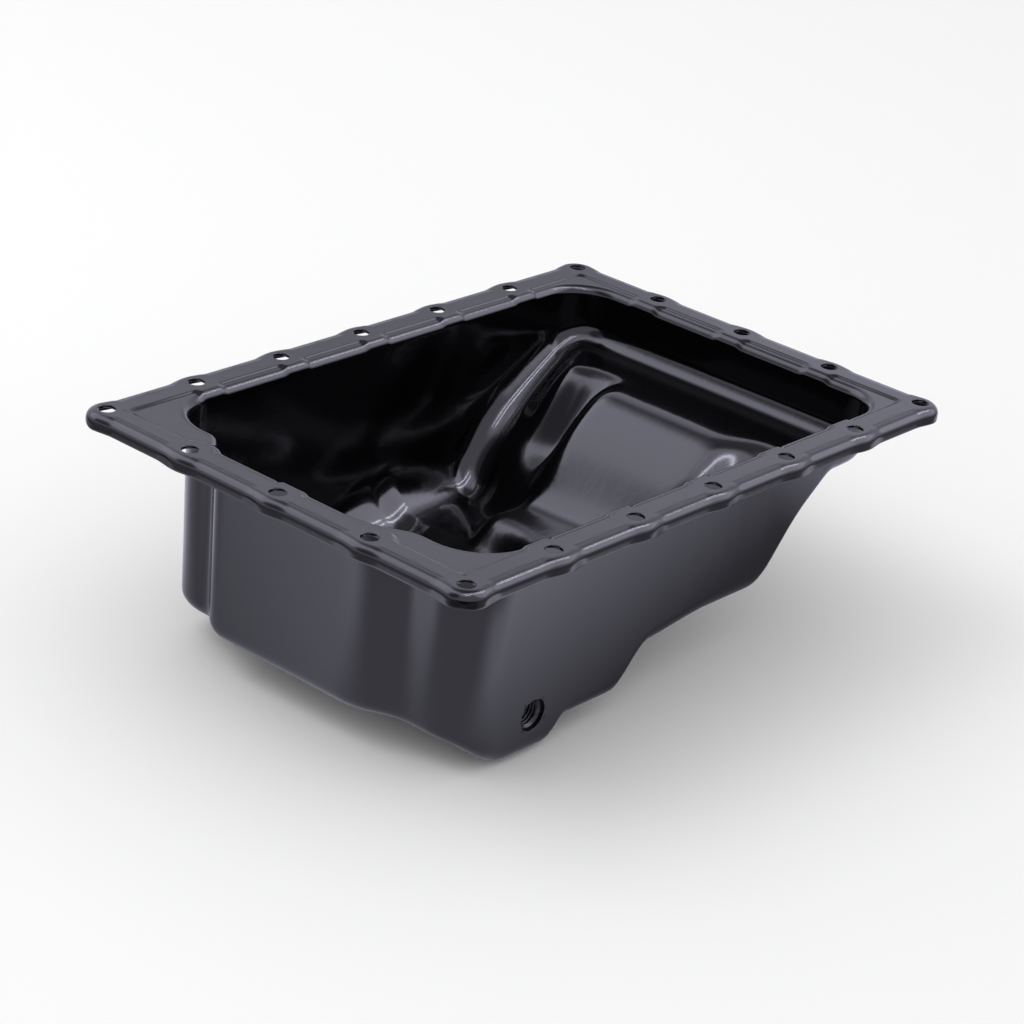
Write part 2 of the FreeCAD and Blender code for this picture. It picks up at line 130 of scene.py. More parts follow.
# Weld nut: countersink of its bore, flanks and flat of its thread, where the thread fades out and how
# deep its crests are worn, and the angle in degrees past which an edge is sharp
NUT_MOUTH, NUT_MOUTH_OUT = 0.9, 0.2
THREAD_STEEP, THREAD_FLAT, THREAD_FADE, CREST_WEAR = 1.25, 0.12, 0.6, 0.35
NUT_CREASE = 35.0

# How finely the bowl is divided: along its long and short sides, over the lands and down the walls. Then
# how many times the floor is softened and the foot is sought, and the step in millimetres that gives the
# floor's slope
LONG_PARTS, SHORT_PARTS = 220, 150
LAND_ROWS, BEND_ROWS, WALL_ROWS, FOOT_ROWS = 20, 9, 34, 13
FLOOR_SOFTENING, FOOT_TRIES, SLOPE_STEP = 26, 4, 0.05

# How finely the rest is divided: outlines by a step in millimetres, the lip over its bend, down, round
# its edge, up and under, a hole's patch in rows and border points, and the drain in stations and rows
OPENING_STEP, RIM_STEP = 0.4, 1.6
LIP_ROWS = (11, 5, 9, 4, 7)
PAD_ROWS, PAD_CROWDING, HOLE_EDGE_ROWS, UNDER_ROWS = 15, 1.5, 4, 6
BORDER_POINTS, CUT_POINTS = 25, 7
DRAIN_PARTS, DRAIN_EDGE_ROWS, THREAD_ROWS = 96, 6, 70

# Size in millimetres of the coat's orange peel, of its sags, of the cells that may hold a speck, and of
# the turned steel's grain, then the share of cells that have a speck and how large it is in its cell
PEEL_MM, SAG_MM, SPECK_MM, GRAIN_MM = 3.0, 22.0, 9.0, 1.2
SPECK_SHARE, SPECK_SIZE = 0.07, 0.035

# The camera that the photograph's bolt holes give, in millimetres and pixels
EYE = (-922.188, -738.031, 488.078)
RIGHT = (0.6587286, -0.74536912, 0.10247688)
DOWN = (-0.25086887, -0.34600434, -0.90407179)
AHEAD = (0.70932464, 0.56982969, -0.41491286)
FOCAL_PX, FRAME_PX, SENSOR_MM, CLIP_END = 2996.38, 1024.0, 36.0, 50.0

# Studio floor: half its width, and how far it lies under the pan, in millimetres
FLOOR_HALF, FLOOR_GAP = 9000.0, 0.4

# Painted light of the floor as the coat mirrors it, with the pan's shadow painted in front of the drain
# wall: a direction in plan, then from and to how far along it, in metres, the level goes from its low to
# its high value. In front of the drain wall, left of the pan, behind it and to its right
PAINTED_FLOOR_LIGHT = (((-0.28, -1.0, 0.0), 0.104, 0.188, 0.2, 1.5), ((-7.0, -4.5, 0.0), 0.65, 1.75, 0.5, 1.6),
               ((0.0, 1.0, 0.0), 0.02, 0.16, 0.0, 0.9), ((1.0, 0.0, 0.0), 0.16, 0.24, 0.0, 0.9))

# Its painted level towards the camera, and where along Y that passes into the left's and along X into the
# front's. The painted light ends a little left of the pan and in front of it, from and to a place, and
# falls from its high level to its low one
CORNER_LEVEL = 0.72
LEFT_FROM, LEFT_TO, FRONT_FROM, FRONT_TO = -0.05, 0.02, -0.16, -0.09
PAINTED_LIGHT_ENDS = (("X", -0.325, -0.285), ("Y", -0.243, -0.212))
END_LOW, END_HIGH = 0.25, 1.07

# Soft panels and dark flags of the surroundings as the coat mirrors them: the direction of the middle,
# the cosines of the angles from it where it starts and where it is full, and what it makes of the light
SKY = (((-0.288, 0.618, 0.731), 0.80, 0.95, 2.5), ((-0.237, -0.199, 0.951), 0.90, 0.975, 2.1),
       ((0.587, -0.492, 0.643), 0.82, 0.94, 2.7), ((-0.79, 0.21, 0.574), 0.88, 0.96, 0.3),
       ((0.28, 0.24, 0.93), 0.88, 0.96, 0.35), ((0.715, 0.656, 0.242), 0.986, 0.9898, 0.62))

# Level of the surroundings in the coat's first mirror image and in its second, and as they light matt
# surfaces
FIRST_IMAGE, SECOND_IMAGE, FILL_LEVEL = 1.14, 0.26, 0.86

# Lamps in metres: name, place, aim, width, depth, radiance, and whether they show in the coat or light
# the rest
LAMPS = (("overhead", (-0.75, 0.95, 1.5), (0.0, 0.0, -0.05), 1.5, 1.1, 1.6, False),
         ("far tube", (0.5, -0.38, 1.6), (0.5, -0.38, 0.0), 2.6, 0.05, 20.0, True),
         ("near tube", (0.5, -0.72, 1.6), (0.5, -0.72, 0.0), 2.6, 0.05, 20.0, True))


def length(name, about, mm):
    """A property that holds a length in metres and starts at mm millimetres."""
    return FloatProperty(name=name, description=about, default=mm / 1000, min=0.0, unit="LENGTH", precision=5)


def colour(name, about, rgb):
    """A property that holds a linear colour, given as an sRGB hex value."""
    return FloatVectorProperty(name=name, description=about, default=linear(rgb)[:3], subtype="COLOR", size=3,
                               min=0.0, max=1.0)


def linear(hex_value):
    """The linear RGBA of an sRGB hex colour such as "#1a1a1c"."""
    parts = [int(hex_value[i:i + 2], 16) / 255 for i in (1, 3, 5)]
    return tuple([c / 12.92 if c <= 0.04045 else ((c + 0.055) / 1.055) ** 2.4 for c in parts] + [1.0])


class PanSizes(bpy.types.PropertyGroup):
    """Sizes of the pressed sheet."""

    sheet: length("Sheet", "Thickness of the steel", 1.5)
    hole: length("Bolt hole", "Diameter of the bolt holes", 7.5)
    edge_out: length("Edge", "From the line of holes out to the lip's face", 7.6)
    pad_out: length("Pad bulge", "How far the lip stands out beside each hole", 1.5)
    pad_half: length("Pad half length", "From a hole to where its bulge ends", 12.0)
    flange_corner: length("Flange corner", "Corner radius of the lip in plan", 9.0)
    lip_bend: length("Lip bend", "Radius of the bend between the flange and its lip", 4.0)
    lip_drop: length("Lip height", "From the sealing face to the lip's lower edge", 7.0)
    far_lip_drop: length("Far lip height", "The same along the far long side", 4.8)
    land_drop: length("Land drop", "How far the lands between the bolt pads are pressed down", 0.9)
    ledge: length("Ledge", "Depth of the shallow end", 27.0)
    shelf: length("Shelf", "Depth of the shelf beside the sump", 70.0)
    landing: length("Landing", "Depth of the landing in the channel", 67.0)
    sump: length("Sump", "Depth of the sump", 85.8)
    dish: length("Dish", "How much deeper the middle of the sump is", 4.0)
    pool: length("Pool", "How much deeper the sump is along the drain wall", 2.0)
    well: length("Well", "How much deeper it is again round the drain", 9.2)
    drain_hole: length("Drain hole", "Diameter of the hole in the drain wall", 14.5)


class NutSizes(bpy.types.PropertyGroup):
    """Sizes of the weld nut behind the drain hole."""

    outside: length("Outside", "Diameter of the nut", 20.0)
    height: length("Length", "Length of the nut along its bore", 9.0)
    bore: length("Bore", "Minor diameter of its thread", 10.2)
    thread: length("Thread", "Major diameter of its thread", 12.0)
    pitch: length("Pitch", "Distance between two turns of the thread", 1.5)
    chamfer: length("Chamfer", "Chamfer at both ends of the nut", 1.4)


class FinishColours(bpy.types.PropertyGroup):
    """Colours of the coats and of the studio."""

    paint: colour("Paint", "Gloss black dip paint on the sheet", "#050507")
    dust: colour("Dust", "Specks of dust in the coat", "#8a8a90")
    thread: colour("Thread", "Bare steel on the crests of the thread", "#343438")
    floor: colour("Floor", "Studio floor", "#fcfcfc")
    light: colour("Light", "Cool white of the light that the coat mirrors", "#ebeaff")


def in_mm(group):
    """The group's lengths as plain numbers in millimetres."""
    return SimpleNamespace(**{key: getattr(group, key) * 1000 for key in group.__annotations__})


def ease(t):
    """A step from 0 to 1 with soft ends: 3 t squared minus 2 t cubed, with t held between 0 and 1."""
    t = np.clip(t, 0.0, 1.0)
    return t * t * (3 - 2 * t)


def rounded(x, corners):
    """Height at x of straight runs through (place, height, rounding) corners. Each change of slope is a
    parabola, (u + rounding) squared / 4 rounding."""
    value = np.full_like(x, corners[0][1])
    before = 0.0
    for here, there in zip(corners, corners[1:] + [None]):
        after = (there[1] - here[1]) / (there[0] - here[0]) if there else 0.0
        u = x - here[0]
        bend = np.where(u > here[2], u, np.clip(u + here[2], 0.0, None) ** 2 / (4 * here[2]))
        value = value + (after - before) * bend
        before = after
    return value


def sump_depth(x, y, s):
    """Depth of the sump: its level plus three soft steps, the dish, the pool and the well."""
    end = ease((x + WELL_END) / WELL_END_RUN)
    dish = ease((DISH_START - x) / DISH_START_RUN) * ease((x + DISH_END) / DISH_END_RUN)
    well = ease((WELL_START - y) / WELL_START_RUN) * ease((WELL_EDGE - x) / WELL_EDGE_RUN) * end
    return s.sump + s.dish * dish + s.pool * ease((POOL_START - y) / POOL_RUN) * end + s.well * well


def flank_drop(out):
    """Drop beyond the side of the shelf and ramp: an arc of radius R, R - sqrt(R squared - out squared),
    then a steep straight flank."""
    slope = math.radians(FLANK_SLOPE)
    reach = FLANK_R * math.sin(slope)
    arc = FLANK_R - np.sqrt(FLANK_R ** 2 - np.clip(out, 0.0, reach) ** 2)
    return arc + np.clip(out - reach, 0.0, None) * math.tan(slope)


def depth(x, y, s):
    """Inside depth of the floor in plan: shelf and ramp, their fall to the sump at -X and their flank
    down to the channel at +Y. The flank ends in the channel's floor over a soft minimum, min(a, b) - h
    squared / 4k."""
    along = ease((BLOCK_SIDE - y) / BROW_RUN)
    brow = BROW_FAR + (BROW_NEAR - BROW_FAR) * along
    fall = ease((brow + FALL_RUN / 2 - x) / (FALL_RUN + FALL_SPREAD * along))
    knee = (RAMP_TOE + RAMP_KNEE, s.ledge + KNEE_DROP, RAMP_KNEE_BEND)
    ramp = [(RAMP_TOE, s.shelf, RAMP_TOE_BEND), knee, (RAMP_TOE + RAMP_RUN, s.ledge, RAMP_TOP_BEND)]
    block = rounded(x - SET_BACK * ease((SET_BACK_START - y) / SET_BACK_RUN), ramp)
    block = block + SAG * ease((brow + SAG_RUN - x) / SAG_RUN) * (1 - fall)
    sump = sump_depth(x, y, s)
    block = block + (sump - block) * fall
    landing, tilt = s.landing - LANDING_BANK * np.clip(y - BANK_START, 0.0, None), LANDING_TILT / 2
    slant = np.maximum(SLANT * (y - SLANT_MIDDLE), -SLANT_MOST)
    toe = END_TOE - TOE_BOW * np.clip(1 - ((y - BOW_MIDDLE) / BOW_HALF) ** 2, 0.0, None)
    top = END_TOP + SWEEP * ease((y - SWEEP_START) / SWEEP_RUN)
    falls = [(FALL_TOE + slant, s.sump, FALL_TOE_BEND), (FALL_TOP + slant, landing + tilt, LANDING_BEND)]
    falls += [(toe, landing - tilt, LANDING_BEND), (top, s.ledge, END_TOP_BEND)]
    blister = np.hypot((x - BLISTER_X) / BLISTER_HALF_X, (y - BLISTER_Y) / BLISTER_HALF_Y)
    gap = np.maximum(rounded(x, falls) + sump - s.sump - BLISTER * ease(1 - blister) - block, 1e-9)
    drop = flank_drop(y - BLOCK_SIDE - NOSE * ease((NOSE_START - x) / NOSE_RUN))
    blend = np.minimum(FLANK_FOOT, gap)
    return block + np.minimum(drop, gap) - np.clip(blend - np.abs(drop - gap), 0.0, None) ** 2 / (4 * blend)


def foot_radius(x, y):
    """Inside radius at the foot of the wall: small round the sump, larger under the ledge, large at +Y."""
    radius = FOOT_R + (END_FOOT_R - FOOT_R) * ease((x - END_FOOT_START) / END_FOOT_RUN)
    far = ease((x - FAR_FOOT_START) / FAR_FOOT_RUN) * ease((y - FAR_FOOT_SIDE) / FAR_FOOT_TURN)
    far = far * np.clip(1 - x / FAR_FOOT_END, 0.0, 1.0)
    return radius + (FAR_FOOT_R - radius) * far


def outline(corners, step):
    """Stations round a closed outline of (x, y, radius) corners, as arcs and straight runs, and their
    normals."""
    ends = []
    befores, afters = corners[-1:] + corners[:-1], corners[1:] + corners[:1]
    for before, (bx, by, radius), after in zip(befores, corners, afters):
        u = np.array([bx - before[0], by - before[1]])
        v = np.array([after[0] - bx, after[1] - by])
        u, v = u / np.hypot(*u), v / np.hypot(*v)
        turn = math.atan2(u[0] * v[1] - u[1] * v[0], u @ v)
        ends.append((np.array([bx, by]) - u * radius * math.tan(abs(turn) / 2), u, turn, radius))
    places, normals = [], []
    for (start, u, turn, radius), (goal, _, _, _) in zip(ends, ends[1:] + ends[:1]):
        side = math.copysign(1.0, turn)
        centre = start + np.array([-u[1], u[0]]) * radius * side
        angle = np.linspace(0.0, turn, max(8, round(abs(turn) * radius / step)) + 1)
        nx = u[1] * np.cos(angle) + u[0] * np.sin(angle)
        ny = -u[0] * np.cos(angle) + u[1] * np.sin(angle)
        arc = centre + np.column_stack([nx, ny]) * radius * side
        parts = max(2, round(np.hypot(*(goal - arc[-1])) / step))
        share = np.arange(1, parts)[:, None] / parts
        places += [arc, arc[-1] + (goal - arc[-1]) * share]
        normals += [np.column_stack([nx, ny]), np.repeat([[nx[-1], ny[-1]]], parts - 1, axis=0)]
    return np.concatenate(places), np.concatenate(normals)


def hole_centres():
    """Centres of the bolt holes."""
    long_side = np.arange(-HALF_X, HALF_X + 1, PITCH)
    short_side = np.arange(-HALF_Y + PITCH, HALF_Y, PITCH)
    rows = [np.column_stack([long_side, np.full_like(long_side, y)]) for y in (-HALF_Y, HALF_Y)]
    rows += [np.column_stack([np.full_like(short_side, x), short_side]) for x in (-HALF_X, HALF_X)]
    return np.concatenate(rows)


def flange_height(x, y, s):
    """Height of the flange's top in plan. It is pressed down inside and outside a raised band along the
    holes, by a soft step that goes round the flat pad of each hole."""
    gap = np.full_like(x, 1e9)
    for hx, hy in hole_centres():
        gap = np.minimum(gap, np.hypot(x - hx, y - hy))
    inner = np.minimum(HALF_X - BAND_IN_X - np.abs(x), HALF_Y - BAND_IN_Y - np.abs(y))
    outer = np.maximum(np.abs(x) - HALF_X, np.abs(y) - HALF_Y) - BAND_OUT
    sunk = s.land_drop * ease(np.minimum(inner, gap - LAND_PAD_R) / LAND_STEP)
    return -sunk - OUTER_DROP * ease(np.minimum(outer, gap - OUTER_PAD_R) / OUTER_STEP)


def opening():
    """Stations round the top of the walls, in at both corners of the sump end. They are spread evenly
    over each of the four sides, and opposite sides have as many, so that the floor can be a grid between
    them."""
    inner = -WALL_X + RECESS
    corners = [(WALL_X, -WALL_Y, OPENING_CORNER), (WALL_X, WALL_Y, OPENING_CORNER)]
    corners += [(inner, WALL_Y, FAR_CORNER), (inner, JOG_END, JOG_END_R), (-WALL_X, JOG_START, JOG_START_R)]
    corners += [(-WALL_X, -NEAR_JOG_START, NEAR_JOG_START_R), (inner, -JOG_END, NEAR_JOG_END_R)]
    place, normal = outline(corners + [(inner, -WALL_Y, DRAIN_CORNER)], OPENING_STEP)
    marks = [int(np.argmin(np.hypot(*(place - corner).T))) for corner in
             ((WALL_X, -WALL_Y), (WALL_X, WALL_Y), (inner, WALL_Y), (inner, -WALL_Y))]
    places, normals = [], []
    for start, goal, parts in zip(marks, marks[1:] + marks[:1], (SHORT_PARTS, LONG_PARTS) * 2):
        run = np.arange(start, goal + 1 if goal > start else goal + 1 + len(place)) % len(place)
        way = np.concatenate([[0.0], np.cumsum(np.hypot(*np.diff(place[run], axis=0).T))])
        at = way[-1] * np.arange(parts) / parts
        places.append(np.column_stack([np.interp(at, way, place[run, k]) for k in (0, 1)]))
        side = np.column_stack([np.interp(at, way, normal[run, k]) for k in (0, 1)])
        normals.append(side / np.hypot(*side.T)[:, None])
    return np.concatenate(places), np.concatenate(normals)


def wall_lattice(s):
    """Points of the sheet's inside, one column for each station: across the land, round the bend, down
    the drafted wall and round the foot, whose centre lies one radius above the floor."""
    place, normal = opening()
    x, y = place.T
    nx, ny = normal.T
    bx, by = x + nx * WALL_BEND, y + ny * WALL_BEND
    hub = np.clip(x, WALL_Y - WALL_X, WALL_X - WALL_Y)
    rx, ry = x - hub, y
    with np.errstate(divide="ignore"):
        reach = np.minimum((HALF_X - SEAL_IN_X - np.abs(hub)) / np.abs(rx), (HALF_Y - SEAL_IN_Y) / np.abs(ry))
    ex, ey = hub + rx * reach, ry * reach
    columns = []
    for share in np.linspace(0, 1, LAND_ROWS):
        px, py = ex + (bx - ex) * share, ey + (by - ey) * share
        columns.append((px, py, flange_height(px, py, s)))
    sunk = columns[-1][2]
    draft = math.radians(DRAFT)
    for a in np.linspace(0, math.pi / 2 - draft, BEND_ROWS + 1)[1:]:
        out = WALL_BEND * (1 - math.sin(a))
        columns.append((x + nx * out, y + ny * out, sunk - WALL_BEND * (1 - math.cos(a))))
    top_out, top_z = out, columns[-1][2]
    radius = foot_radius(x, y)
    inside = 2 * radius
    for _ in range(FOOT_TRIES):
        floor = depth(x - nx * inside, y - ny * inside, s)
        inside = (floor - radius + top_z) * math.tan(draft) - top_out + radius / math.cos(draft)
    foot_z = -(floor - radius) - radius * math.sin(draft)
    for share in np.linspace(0, 1, WALL_ROWS + 2)[1:-1]:
        z = top_z + (foot_z - top_z) * share
        out = top_out - (top_z - z) * math.tan(draft)
        columns.append((x + nx * out, y + ny * out, z))
    for a in np.linspace(draft, math.pi / 2, FOOT_ROWS):
        out = radius * math.cos(a) - inside
        columns.append((x + nx * out, y + ny * out, -(floor - radius) - radius * math.sin(a)))
    return np.stack([np.stack(c, axis=-1) for c in columns], axis=1)


def floor_grid(ring, s):
    """Points of the floor as a grid (along, across, 3) inside the ring of the walls' foot. In plan each
    point is the sum of the two straight blends between opposite sides, less the blend of the four
    corners, a Coons patch. Sheet drawn over a punch takes no sharp turn, so each height is moved halfway
    to its neighbours' mean again and again."""
    at = np.arange(len(ring))
    right, far = ring[:SHORT_PARTS + 1], ring[SHORT_PARTS:SHORT_PARTS + LONG_PARTS + 1][::-1]
    left = ring[SHORT_PARTS + LONG_PARTS:2 * SHORT_PARTS + LONG_PARTS + 1][::-1]
    near = ring[np.append(at[2 * SHORT_PARTS + LONG_PARTS:], 0)]
    u = np.linspace(0, 1, LONG_PARTS + 1)[:, None, None]
    v = np.linspace(0, 1, SHORT_PARTS + 1)[None, :, None]
    plan = near[:, None] * (1 - v) + far[:, None] * v + left[None] * (1 - u) + right[None] * u
    plan = plan - (near[0] * (1 - u) + near[-1] * u) * (1 - v) - (far[0] * (1 - u) + far[-1] * u) * v
    x, y = plan[..., 0], plan[..., 1]
    height = -depth(x, y, s)
    for _ in range(FLOOR_SOFTENING):
        around = height[:-2, 1:-1] + height[2:, 1:-1] + height[1:-1, :-2] + height[1:-1, 2:]
        height[1:-1, 1:-1] = (height[1:-1, 1:-1] + around / 4) / 2
    return np.stack([x, y, height], axis=-1)


def floor_normals(x, y, s):
    """Unit normals of the floor from the slopes of its depth: (dd/dx, dd/dy, 1) made unit length."""
    across = (depth(x + SLOPE_STEP, y, s) - depth(x - SLOPE_STEP, y, s)) / (2 * SLOPE_STEP)
    along = (depth(x, y + SLOPE_STEP, s) - depth(x, y - SLOPE_STEP, s)) / (2 * SLOPE_STEP)
    normal = np.stack([across, along, np.ones_like(x)], axis=-1)
    return normal / np.linalg.norm(normal, axis=-1, keepdims=True)


def bowl_faces(rows, long_parts, short_parts):
    """Faces of the walls and of the floor grid inside them, whose border is the last point of each
    column."""
    count = 2 * (long_parts + short_parts)
    index = np.zeros((long_parts + 1, short_parts + 1), int)
    inner = np.arange((long_parts - 1) * (short_parts - 1))
    index[1:-1, 1:-1] = count * rows + inner.reshape(long_parts - 1, -1)
    last = np.arange(count) * rows + rows - 1
    index[-1, :] = last[:short_parts + 1]
    index[:, -1] = last[short_parts:short_parts + long_parts + 1][::-1]
    index[0, :] = last[short_parts + long_parts:2 * short_parts + long_parts + 1][::-1]
    index[:, 0] = np.append(last[2 * short_parts + long_parts:], last[0])
    floor = np.stack([index[:-1, :-1], index[1:, :-1], index[1:, 1:], index[:-1, 1:]], axis=-1)
    return np.concatenate([quads(count, rows), floor.reshape(-1, 4)])


def lattice_normals(points):
    """Unit normals of a closed lattice (stations, rows, 3): the cross product of its central
    differences."""
    along = np.roll(points, -1, axis=0) - np.roll(points, 1, axis=0)
    normal = np.cross(along, np.gradient(points, axis=1))
    return normal / np.maximum(np.linalg.norm(normal, axis=2, keepdims=True), 1e-12)


def quads(stations, rows, first=0):
    """Indices of the quads between the points of a closed lattice, which lie station by station."""
    i = np.arange(stations)[:, None]
    j = np.arange(rows - 1)[None, :]
    after = (i + 1) % stations
    faces = np.stack([i * rows + j, after * rows + j, after * rows + j + 1, i * rows + j + 1], axis=-1)
    return faces.reshape(-1, 4) + first


def mesh_piece(name, points, faces, material):
    """A smooth mesh object from points in millimetres and lists of faces."""
    mesh = bpy.data.meshes.new(name)
    mesh.from_pydata((np.asarray(points) / 1000).tolist(), [], [f for block in faces for f in block.tolist()])
    mesh.validate()
    mesh.polygons.foreach_set("use_smooth", np.ones(len(mesh.polygons), bool))
    mesh.materials.append(material)
    piece = bpy.data.objects.new(name, mesh)
    bpy.context.scene.collection.objects.link(piece)
    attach(piece, "root")
    return piece


def fresh(name):
    """Removes the piece of that name that an earlier run of its operator left."""
    if name in bpy.data.objects:
        bpy.data.objects.remove(bpy.data.objects[name])


def drain_frame():
    """The drain's foot on the inside of the wall, and its axis, sideways and upward directions."""
    draft = math.radians(DRAFT)
    y = -WALL_Y - WALL_BEND * (1 - math.cos(draft)) + (-DRAIN_Z - WALL_BEND) * math.tan(draft)
    axis = np.array([0.0, math.cos(draft), math.sin(draft)])
    side = np.array([1.0, 0.0, 0.0])
    return np.array([DRAIN_X, y, DRAIN_Z]), axis, side, np.cross(side, axis)


def punch(points, faces, radius):
    """Opens the drain hole: points near the circle are drawn onto it, and faces that reach inside it go."""
    foot, axis, side, up = drain_frame()
    local = points - foot
    u, v, w = local @ side, local @ up, local @ axis
    gap = np.hypot(u, v)
    level = np.abs(w) < PUNCH_REACH
    near = level & (np.abs(gap - radius) < PUNCH_PULL)
    pull = np.where(near, radius / np.maximum(gap, 1e-9) - 1, 0.0)
    points = points + pull[:, None] * (u[:, None] * side + v[:, None] * up)
    gone = level & (gap < radius - PUNCH_PULL)
    return points, faces[~gone[faces].any(axis=1)]


def emptied(owner, name):
    """The material or world of that name, new or left by an earlier run, with no nodes in it."""
    block = owner.get(name) or owner.new(name)
    block.use_nodes = True
    block.node_tree.nodes.clear()
    return block


def node(tree, kind, links=(), **settings):
    """Adds a shader node. Settings name its attributes or, with a leading i_, its input sockets, by name or
    number. Links are (input, socket)."""
    made = tree.nodes.new("ShaderNode" + kind)
    for key, value in settings.items():
        if key.startswith("i_"):
            socket = key[2:].replace("_", " ")
            made.inputs[int(socket) if socket.isdigit() else socket].default_value = value
        else:
            setattr(made, key, value)
    for target, source in links:
        tree.links.new(source, made.inputs[target])
    return made


def gloss_black_paint(colours):
    """Gloss black dip paint, baked on pressed steel. The coat is dark right through, so nearly all that
    the eye sees is the mirror on its surface, a little soft and wavy from orange peel, with a few specks
    of dust."""
    material = emptied(bpy.data.materials, "gloss black dip paint")
    tree = material.node_tree
    place = node(tree, "TexCoord").outputs["Object"]
    peel = node(tree, "TexNoise", [("Vector", place)], i_Scale=1000 / PEEL_MM, i_Detail=2.0)
    sag = node(tree, "TexNoise", [("Vector", place)], i_Scale=1000 / SAG_MM, i_Detail=1.0)
    speck = node(tree, "TexVoronoi", [("Vector", place)], i_Scale=1000 / SPECK_MM, i_Randomness=1.0)
    chance = node(tree, "SeparateColor", [("Color", speck.outputs["Color"])])
    rare = node(tree, "Math", [(0, chance.outputs["Red"])], operation="LESS_THAN", i_1=SPECK_SHARE)
    near = node(tree, "Math", [(0, speck.outputs["Distance"])], operation="LESS_THAN", i_1=SPECK_SIZE)
    dust = node(tree, "Math", [(0, rare.outputs[0]), (1, near.outputs[0])], operation="MULTIPLY")
    base = node(tree, "Mix", [("Factor", dust.outputs[0])], data_type="RGBA",
                i_6=(*colours.paint, 1.0), i_7=(*colours.dust, 1.0))
    rough = node(tree, "MapRange", [("Value", sag.outputs["Fac"])], i_To_Min=0.10, i_To_Max=0.15)
    wave = node(tree, "Math", [(0, peel.outputs["Fac"]), (2, sag.outputs["Fac"])],
                operation="MULTIPLY_ADD", i_1=0.35)
    bump = node(tree, "Bump", [("Height", wave.outputs[0])], i_Strength=0.35, i_Distance=0.0002)
    shader = node(tree, "BsdfPrincipled", [("Base Color", base.outputs[2]),
                  ("Roughness", rough.outputs[0]), ("Normal", bump.outputs[0])], i_IOR=1.58)
    node(tree, "OutputMaterial", [("Surface", shader.outputs[0])])
    return material


def coated_thread_steel(colours):
    """Turned steel of the weld nut under the same black coat, worn to bare metal on the crests of the
    thread, which glint through the drain hole. The coat is thinner there, so the surface is rougher."""
    material = emptied(bpy.data.materials, "coated turned steel")
    tree = material.node_tree
    place = node(tree, "TexCoord").outputs["Object"]
    grain = node(tree, "TexNoise", [("Vector", place)], i_Scale=1000 / GRAIN_MM, i_Detail=3.0)
    worn = node(tree, "Attribute", attribute_name="crest")
    mask = node(tree, "Math", [(0, worn.outputs["Fac"]), (1, grain.outputs["Fac"])], operation="MULTIPLY")
    base = node(tree, "Mix", [("Factor", mask.outputs[0])], data_type="RGBA",
                i_6=(*colours.paint, 1.0), i_7=(*colours.thread, 1.0))
    metal = node(tree, "Math", [(0, mask.outputs[0])], operation="MULTIPLY", i_1=0.3)
    rough = node(tree, "MapRange", [("Value", grain.outputs["Fac"])], i_To_Min=0.2, i_To_Max=0.34)
    shader = node(tree, "BsdfPrincipled", [("Base Color", base.outputs[2]),
                  ("Metallic", metal.outputs[0]), ("Roughness", rough.outputs[0])])
    node(tree, "OutputMaterial", [("Surface", shader.outputs[0])])
    return material


class OILPAN_OT_bowl(bpy.types.Operator):
    """Builds both sides of the drawn bowl from the lands down to the sump, with the drain hole punched"""

    bl_idname = "oilpan.bowl"
    bl_label = "Drawn Bowl"

    def execute(self, context):
        fresh("bowl_inside")
        fresh("bowl_outside")
        s = in_mm(context.scene.pan_sizes)
        paint = gloss_black_paint(context.scene.pan_colours)
        walls = wall_lattice(s)
        floor = floor_grid(walls[:, -1, :2], s)
        wall_way = lattice_normals(walls)
        wall_way[:, -1] = floor_normals(walls[:, -1, 0], walls[:, -1, 1], s)
        floor_way = np.cross(np.gradient(floor, axis=0), np.gradient(floor, axis=1))
        floor_way /= np.linalg.norm(floor_way, axis=2, keepdims=True)
        for name, gauge, step, way in (("bowl_inside", 0.0, 1, 1), ("bowl_outside", s.sheet, 2, -1)):
            columns = (walls - wall_way * gauge)[::step]
            middle = (floor - floor_way * gauge)[::step, ::step][1:-1, 1:-1]
            points = np.concatenate([columns.reshape(-1, 3), middle.reshape(-1, 3)])
            faces = bowl_faces(columns.shape[1], LONG_PARTS // step, SHORT_PARTS // step)
            points, faces = punch(points, faces, s.drain_hole / 2)
            piece = mesh_piece(name, points, [faces[:, ::way]], paint)
            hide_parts("oil_pan")
        return {"FINISHED"}


def rim_stations(s):
    """Stations round the lip's face before its bulges: place, outward normal, and how much of the bulge
    beside a hole there is."""
    reach_x, reach_y = HALF_X + s.edge_out, HALF_Y + s.edge_out
    corners = [(reach_x, -reach_y), (reach_x, reach_y), (-reach_x, reach_y), (-reach_x, -reach_y)]
    place, normal = outline([(x, y, s.flange_corner) for x, y in corners], RIM_STEP)
    offset = np.full(len(place), 1e9)
    for hole in hole_centres():
        away = place - hole
        along = np.abs(away[:, 0] * normal[:, 1] - away[:, 1] * normal[:, 0])
        near = ((away * normal).sum(1) > 0) & (np.hypot(*away.T) < 2 * s.pad_half)
        offset = np.where(near, np.minimum(offset, along), offset)
    return place, normal, ease(1 - offset / s.pad_half)


